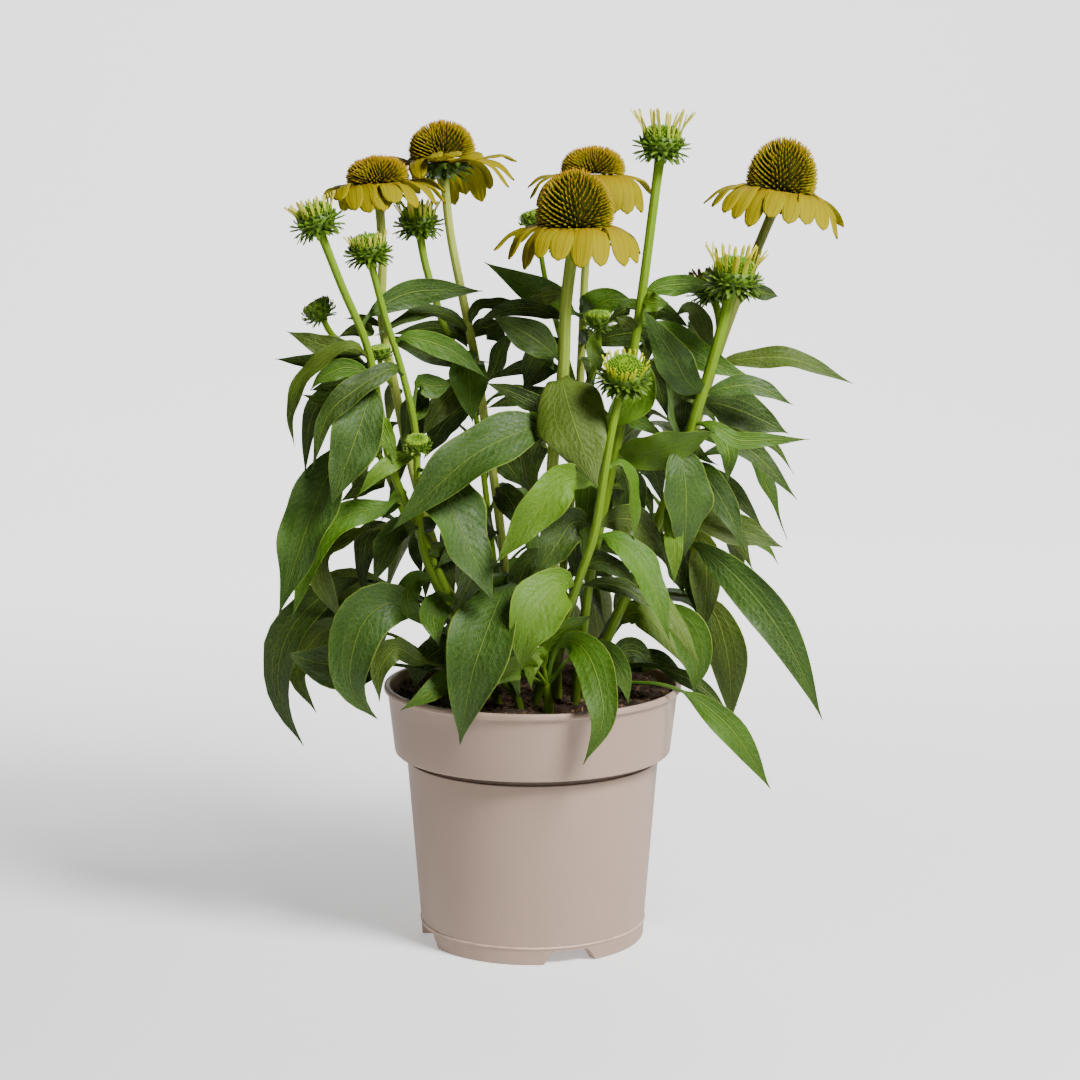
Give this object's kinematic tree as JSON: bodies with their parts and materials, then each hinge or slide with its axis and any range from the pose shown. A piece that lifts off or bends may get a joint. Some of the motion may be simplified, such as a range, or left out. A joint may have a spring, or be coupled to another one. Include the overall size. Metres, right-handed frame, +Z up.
{
  "type": "potted yellow coneflower plant",
  "caption": "Yellow coneflower plant in a tapered nursery pot, with open blooms, buds and long leaves, standing on its pot's foot.",
  "frame": {"origin": "centre of the pot's foot, on the plane that it stands on, on the pot's axis", "axes": "+Z up along the pot's axis, -Y to the front that shows the most flowers, +X to the right seen from the front"},
  "size_m": [0.367, 0.2641, 0.5262],
  "materials": {
    "pot": "moulded polypropylene, satin, taupe",
    "soil": "dark crumbly peat with bark chips and fibres",
    "foliage": "living leaf, soft sheen, pale midrib and arching side veins",
    "petals": "matte velvety petal, grooved lengthwise",
    "cones": "stiff spines, green at the base to amber tips",
    "rays": "young rolled petals, pale cream yellow"
  },
  "bodies": {
    "root": {"pot": "pot", "potting_soil": "soil", "bloom1_leafy": "foliage", "bloom2_leafy": "foliage", "bloom3_leafy": "foliage", "bloom4_leafy": "foliage", "bloom5_leafy": "foliage", "bud1_leafy": "foliage", "bud2_leafy": "foliage", "bud5_leafy": "foliage", "bud6_leafy": "foliage", "bud8_leafy": "foliage", "shoot1_leafy": "foliage", "shoot2_leafy": "foliage", "shoot3_leafy": "foliage", "shoot4_leafy": "foliage", "basal1_leafy": "foliage", "basal2_leafy": "foliage", "basal3_leafy": "foliage", "basal4_leafy": "foliage", "bloom1_petals": "petals", "bloom2_petals": "petals", "bloom3_petals": "petals", "bloom4_petals": "petals", "bloom5_petals": "petals", "bloom1_cone": "cones", "bloom2_cone": "cones", "bloom3_cone": "cones", "bloom4_cone": "cones", "bloom5_cone": "cones", "bud1_rays": "rays", "bud2_rays": "rays", "bud4_rays": "rays", "bud5_rays": "rays", "bud6_rays": "rays", "bud7_rays": "rays", "bud8_rays": "rays"}
  },
  "joints": []
}
